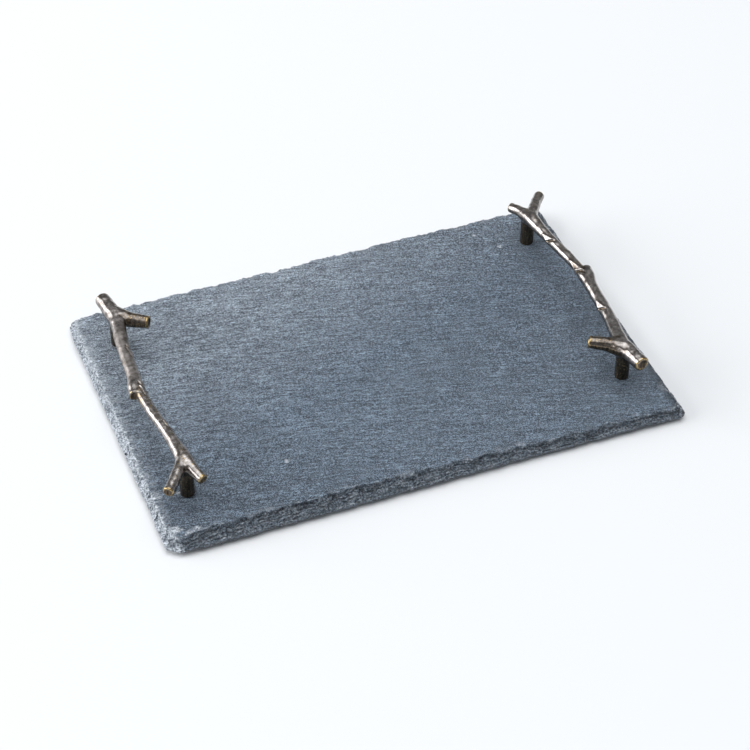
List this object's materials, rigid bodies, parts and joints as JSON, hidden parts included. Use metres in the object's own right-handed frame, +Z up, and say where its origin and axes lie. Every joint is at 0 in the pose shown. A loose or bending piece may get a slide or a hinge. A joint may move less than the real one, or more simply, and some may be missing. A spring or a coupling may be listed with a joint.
{
  "type": "slate serving board",
  "caption": "Rectangular slate serving board with a hand-dressed edge, a cast twig handle on posts at each end and rubber feet underneath.",
  "frame": {"origin": "on the table under the middle of the board", "axes": "+X along the board from the left handle to the right one, +Y from the front edge to the back edge, +Z up"},
  "size_m": [0.2974, 0.1996, 0.034],
  "materials": {
    "slate": "matte",
    "bronze": "satin",
    "steel": "satin",
    "rubber": "matte"
  },
  "bodies": {
    "root": {"slate_board": "slate", "handle_left": "bronze", "handle_right": "bronze", "screw_left_front": "steel", "screw_left_back": "steel", "screw_right_front": "steel", "screw_right_back": "steel", "washer_left_front": "steel", "washer_left_back": "steel", "washer_right_front": "steel", "washer_right_back": "steel", "foot_left_front": "rubber", "foot_left_back": "rubber", "foot_right_front": "rubber", "foot_right_back": "rubber"}
  },
  "joints": []
}
